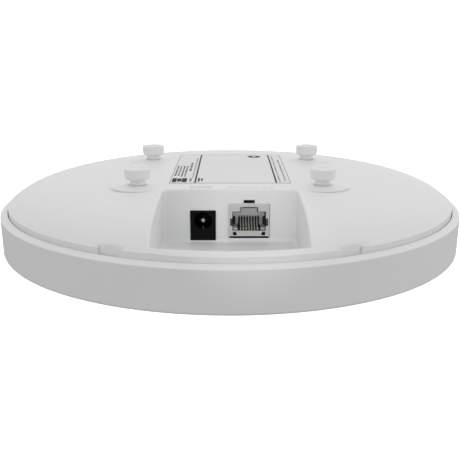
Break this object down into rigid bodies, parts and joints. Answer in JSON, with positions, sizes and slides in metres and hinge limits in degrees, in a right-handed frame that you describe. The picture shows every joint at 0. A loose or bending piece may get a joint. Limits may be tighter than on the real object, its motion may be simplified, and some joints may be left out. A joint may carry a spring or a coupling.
{
  "type": "ceiling access point",
  "caption": "Round wireless access point for a ceiling, with keyhole studs, a recessed power inlet and network port, and the radio board inside.",
  "frame": {"origin": "middle of the flat front face, which the part lies on", "axes": "+Z from the front face towards the ceiling studs; the recess with its ports opens towards -Y; +X is right when looking into the ports"},
  "size_m": [0.18, 0.18, 0.033],
  "materials": {
    "cover_plastic": "fine moulded matte",
    "label_film": "satin printed film",
    "circuit_board": "solder mask",
    "plated_steel": "zinc plated",
    "cast_aluminium": "as cast",
    "chip_resin": "moulded resin",
    "thermal_silicone": "soft matte",
    "tinned_steel": "tin plated",
    "ferrite": "sintered",
    "copper_winding": "enamelled copper",
    "capacitor_can": "sleeveless can",
    "black_plastic": "moulded",
    "nickel_shell": "nickel plated sheet",
    "gold_contact": "gold flashed",
    "led_lens": "clear resin",
    "light_guide": "frosted clear",
    "switch_plastic": "moulded"
  },
  "bodies": {
    "housing": {"front_cover": "cover_plastic", "rear_cover": "cover_plastic", "mounting_studs": "cover_plastic", "rating_label": "label_film", "main_board": "circuit_board", "board_screws": "plated_steel", "heat_spreader": "cast_aluminium", "spreader_screws": "plated_steel", "processor": "chip_resin", "thermal_pad": "thermal_silicone", "memory_chip": "chip_resin", "flash_chip": "chip_resin", "radio_chips": "chip_resin", "radio_shields": "tinned_steel", "network_transformer": "chip_resin", "power_transformer_core": "ferrite", "power_transformer_coil": "copper_winding", "power_inductors": "ferrite", "capacitors": "capacitor_can", "low_band_antennas": "tinned_steel", "high_band_antennas": "tinned_steel", "inlet_housing": "black_plastic", "inlet_pin": "plated_steel", "inlet_terminals": "tinned_steel", "port_shield": "nickel_shell", "port_insert": "black_plastic", "status_led": "led_lens", "light_pipe": "light_guide", "switch_housing": "black_plastic"},
    "button": {"reset_button": "switch_plastic"},
    "blade": {"inlet_blade": "plated_steel"},
    "contacts": {"port_contacts": "gold_contact"}
  },
  "joints": [
    {"name": "reset_press", "type": "slide", "parent": "housing", "child": "button", "axis": [0, -1, 0], "range_m": [0, 0.0003], "stiffness_N_per_m": 4000},
    {"name": "blade_flex", "type": "hinge", "parent": "housing", "child": "blade", "pos_m": [-0.0098, -0.0259, 0.0108], "axis": [1, 0, 0], "range_deg": [0, 4], "stiffness_Nm_per_rad": 0.05},
    {"name": "contact_flex", "type": "hinge", "parent": "housing", "child": "contacts", "pos_m": [0.00693, -0.0336, 0.01172], "axis": [-1, 0, 0], "range_deg": [0, 8], "stiffness_Nm_per_rad": 0.2}
  ]
}
